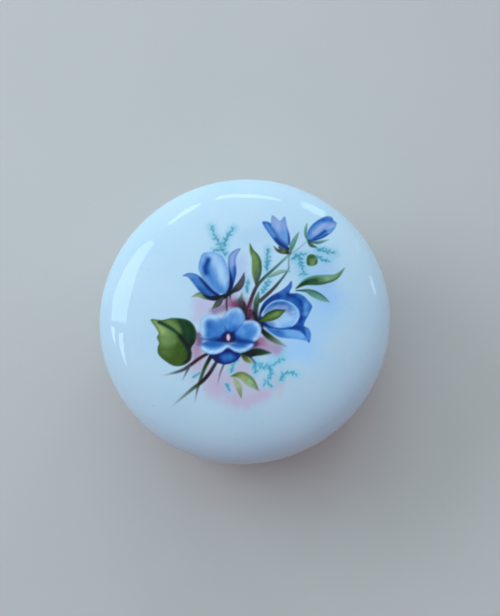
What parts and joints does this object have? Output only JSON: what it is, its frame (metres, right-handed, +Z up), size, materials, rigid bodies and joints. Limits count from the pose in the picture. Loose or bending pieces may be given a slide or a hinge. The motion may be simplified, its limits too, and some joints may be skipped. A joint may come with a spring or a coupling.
{
  "type": "round lidded trinket box",
  "caption": "Round white glazed porcelain trinket box with a domed lift-off lid, a blue flower spray on top, and a hollow footed base with an inner lip.",
  "frame": {"origin": "on the table under the middle of the foot ring", "axes": "+Z up along the turning axis; -Y is the side that is nearest the reader when the painted spray is the right way up, and +X is to its right"},
  "size_m": [0.076, 0.076, 0.0358],
  "materials": {
    "white_glaze": "glossy clear glaze over white porcelain, bare and matt on the foot ring, the ledge and the lip's top",
    "painted_glaze": "glossy clear glaze over white porcelain, with a printed spray of blue flowers, green leaves and pink and blue washes on top"
  },
  "bodies": {
    "root": {"base": "white_glaze", "lid": "painted_glaze"}
  },
  "joints": []
}
